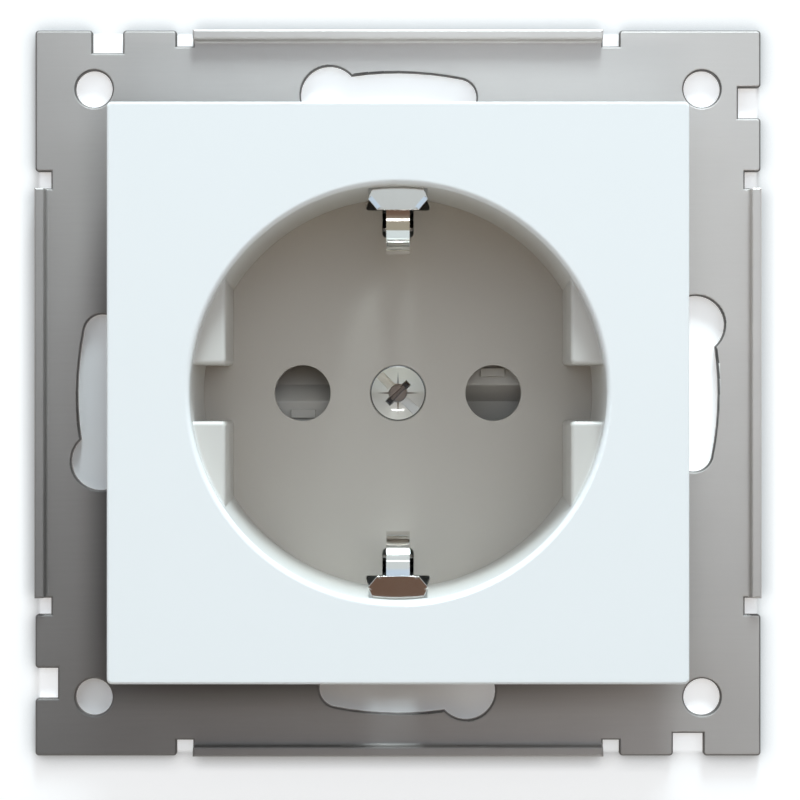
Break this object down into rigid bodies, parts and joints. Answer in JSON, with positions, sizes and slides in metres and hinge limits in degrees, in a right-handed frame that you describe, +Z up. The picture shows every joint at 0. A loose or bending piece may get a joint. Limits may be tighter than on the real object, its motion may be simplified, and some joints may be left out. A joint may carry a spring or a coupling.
{
  "type": "wall socket",
  "caption": "Flush earthed wall socket insert: square plate with a round plug recess and side earth clips on a punched steel support frame, with shutter, terminals and claws behind.",
  "frame": {"origin": "on the socket's axis, at the back face of the support frame, which lies on the wall", "axes": "+Z up, +X right as seen from the room, -Y out of the wall towards the room"},
  "size_m": [0.071, 0.039, 0.071],
  "materials": {
    "plate_plastic": "glossy cool white thermoplastic",
    "screw_steel": "nickel-plated steel",
    "frame_steel": "satin zinc-plated sheet steel",
    "rivet_steel": "zinc-plated steel",
    "base_plastic": "fine matt grey-white moulding",
    "cover_plastic": "dark grey moulding",
    "shutter_plastic": "dark grey moulding",
    "spring_steel": "bright spring wire",
    "contact_brass": "bare brass strip",
    "earth_nickel": "bright nickel-plated strip",
    "clamp_steel": "zinc-plated steel",
    "terminal_steel": "zinc-plated steel",
    "claw_steel": "zinc-plated spring steel",
    "claw_screw_steel": "zinc-plated steel"
  },
  "bodies": {
    "socket": {"centre_plate": "plate_plastic", "centre_screw": "screw_steel", "support_frame": "frame_steel", "frame_rivets": "rivet_steel", "base_housing": "base_plastic", "contact_cover": "cover_plastic", "shutter_spring": "spring_steel", "line_contact": "contact_brass", "neutral_contact": "contact_brass", "earth_bridge": "earth_nickel", "line_clamp": "clamp_steel", "neutral_clamp": "clamp_steel", "earth_clamp": "clamp_steel", "line_screw": "terminal_steel", "neutral_screw": "terminal_steel", "earth_screw": "terminal_steel", "left_claw_screw": "claw_screw_steel", "right_claw_screw": "claw_screw_steel"},
    "shutter": {"shutter": "shutter_plastic"},
    "left_claw": {"left_claw": "claw_steel"},
    "right_claw": {"right_claw": "claw_steel"}
  },
  "joints": [
    {"name": "shutter_turn", "type": "hinge", "parent": "socket", "child": "shutter", "pos_m": [0, 0.0089, 0], "axis": [0, -1, 0], "range_deg": [0, 38], "stiffness_Nm_per_rad": 0.0008, "springref_deg": -14.32, "deforming": ["shutter_spring"]},
    {"name": "left_claw_swing", "type": "hinge", "parent": "socket", "child": "left_claw", "pos_m": [-0.02503, 0.0148, 0], "axis": [0, 0, 1], "range_deg": [0, 24]},
    {"name": "right_claw_swing", "type": "hinge", "parent": "socket", "child": "right_claw", "pos_m": [0.02503, 0.0148, 0], "axis": [0, 0, -1], "range_deg": [0, 24]}
  ]
}
